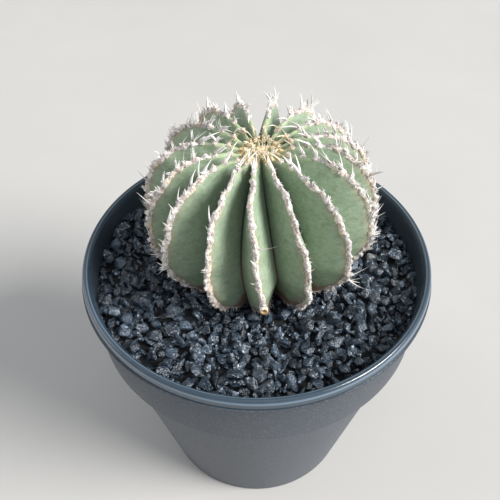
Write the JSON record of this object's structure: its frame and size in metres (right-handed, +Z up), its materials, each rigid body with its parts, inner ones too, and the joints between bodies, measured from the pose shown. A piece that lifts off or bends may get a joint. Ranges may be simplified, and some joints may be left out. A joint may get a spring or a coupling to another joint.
{
  "type": "potted round cactus",
  "caption": "Round cactus with thin woolly ribs and short papery spines, standing in black crushed stone in a dark grey tapered plastic pot.",
  "frame": {"origin": "middle of the pot's underside, on the surface that it stands on", "axes": "+Z up, the picture's front faces -Y, +X to the right"},
  "size_m": [0.12, 0.12, 0.1528],
  "materials": {
    "pot_plastic": "matte",
    "soil": "matte",
    "gravel": "satin",
    "cactus_skin": "satin",
    "wool_and_spines": "matte",
    "crown_wool": "matte"
  },
  "bodies": {
    "root": {"pot": "pot_plastic", "soil": "soil", "gravel": "gravel", "cactus_body": "cactus_skin", "rib_wool_01": "wool_and_spines", "rib_wool_02": "wool_and_spines", "rib_wool_03": "wool_and_spines", "rib_wool_04": "wool_and_spines", "rib_wool_05": "wool_and_spines", "rib_wool_06": "wool_and_spines", "rib_wool_07": "wool_and_spines", "rib_wool_08": "wool_and_spines", "rib_wool_09": "wool_and_spines", "rib_wool_10": "wool_and_spines", "rib_wool_11": "wool_and_spines", "rib_wool_12": "wool_and_spines", "rib_wool_13": "wool_and_spines", "rib_wool_14": "wool_and_spines", "rib_wool_15": "wool_and_spines", "rib_wool_16": "wool_and_spines", "crown_tuft": "crown_wool"}
  },
  "joints": []
}
